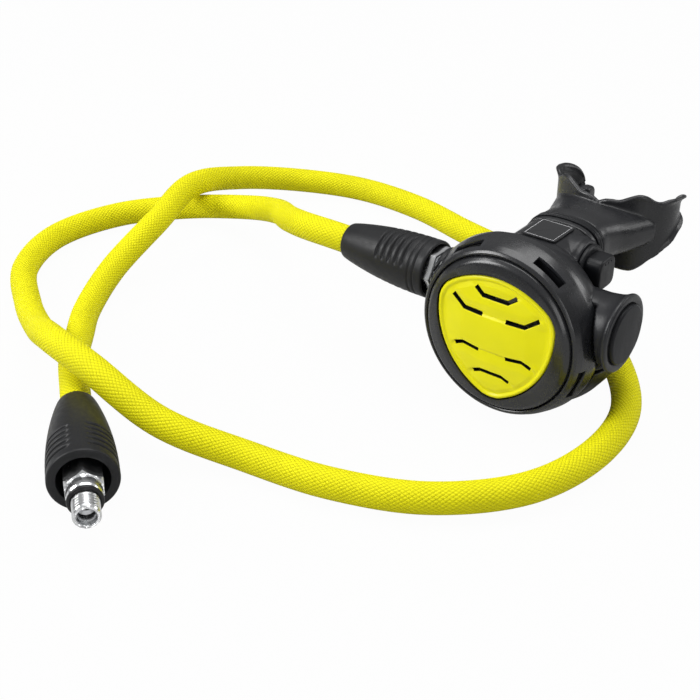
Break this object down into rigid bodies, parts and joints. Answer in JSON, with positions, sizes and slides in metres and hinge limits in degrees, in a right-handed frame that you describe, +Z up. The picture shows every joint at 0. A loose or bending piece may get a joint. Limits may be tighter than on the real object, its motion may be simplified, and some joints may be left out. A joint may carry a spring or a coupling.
{
  "type": "diving regulator second stage with hose",
  "caption": "Diving regulator second stage with round purge cover, side valve, mouthpiece and exhaust tee, on a looped braided low-pressure hose ending in a threaded fitting.",
  "frame": {"origin": "bottom centre of the regulator's own box, without the hose and what is on it", "axes": "+Z up; the purge cover faces -Y, the mouthpiece points to +Y, the valve lies along X with its hose inlet at -X"},
  "size_m": [0.3368, 0.3263, 0.0824],
  "materials": {
    "black_plastic": "satin dark grey",
    "dark_plastic": "matt near-black",
    "yellow_plastic": "glossy acid yellow",
    "yellow_braid": "fine braided cover, acid yellow",
    "rubber": "satin black",
    "mouthpiece_rubber": "smooth grey-black",
    "silicone": "smooth grey",
    "chrome": "polished",
    "steel": "bright drawn",
    "brass": "turned",
    "white_plastic": "plain"
  },
  "bodies": {
    "regulator": {"case": "black_plastic", "front_cover": "black_plastic", "retaining_ring": "black_plastic", "purge_grille": "dark_plastic", "purge_spring": "steel", "slip_ring": "white_plastic", "diaphragm": "silicone", "valve_tube": "chrome", "orifice": "brass", "poppet_spring": "steel", "spring_guide": "brass", "tube_end_nut": "chrome", "side_cap": "black_plastic", "inlet_lock_nut": "chrome", "knob_o_ring": "rubber", "exhaust_valve": "silicone", "exhaust_tee": "black_plastic", "mouthpiece": "mouthpiece_rubber", "mouthpiece_tie": "dark_plastic", "badge_plate": "dark_plastic", "swivel_nut": "chrome", "hose_ferrule": "steel", "lp_hose": "yellow_braid", "end_ferrule": "steel", "end_fitting": "chrome", "end_o_ring": "rubber"},
    "purge_button": {"purge_button": "yellow_plastic"},
    "diaphragm_plate": {"diaphragm_plate": "white_plastic"},
    "demand_lever": {"demand_lever": "steel"},
    "poppet": {"poppet": "brass", "seat_disc": "rubber", "lever_nut": "steel"},
    "venturi_control": {"venturi_knob": "dark_plastic", "venturi_vane": "dark_plastic"},
    "inlet_sleeve": {"inlet_sleeve": "rubber"},
    "end_sleeve": {"end_sleeve": "rubber"}
  },
  "joints": [
    {"name": "purge_press", "type": "slide", "parent": "regulator", "child": "purge_button", "axis": [0, 1, 0], "range_m": [0, 0.003], "stiffness_N_per_m": 1500, "deforming": ["purge_spring", "diaphragm"]},
    {"name": "diaphragm_stroke", "type": "slide", "parent": "regulator", "child": "diaphragm_plate", "axis": [0, 1, 0], "range_m": [0, 0.003]},
    {"name": "lever_swing", "type": "hinge", "parent": "regulator", "child": "demand_lever", "pos_m": [0.0137, -0.0384, 0.0493], "axis": [0, 0, -1], "range_deg": [0, 10.8]},
    {"name": "poppet_stroke", "type": "slide", "parent": "regulator", "child": "poppet", "axis": [1, 0, 0], "range_m": [0, 0.001], "deforming": ["poppet_spring"]},
    {"name": "venturi_turn", "type": "hinge", "parent": "regulator", "child": "venturi_control", "pos_m": [0.0188, -0.0135, 0.063], "axis": [1, 0, 0], "range_deg": [0, 90]},
    {"name": "inlet_sleeve_slide", "type": "slide", "parent": "regulator", "child": "inlet_sleeve", "axis": [-1, 0, 0], "range_m": [0, 0.007]},
    {"name": "end_sleeve_slide", "type": "slide", "parent": "regulator", "child": "end_sleeve", "axis": [0.7676, -0.6409, 0], "range_m": [-0.008, 0.001]}
  ],
  "couplings": [
    {"joint": "diaphragm_stroke", "follows": "purge_press", "ratio": 1},
    {"joint": "lever_swing", "follows": "purge_press", "rad_per_m": 62.83},
    {"joint": "poppet_stroke", "follows": "purge_press", "ratio": 0.33333}
  ]
}
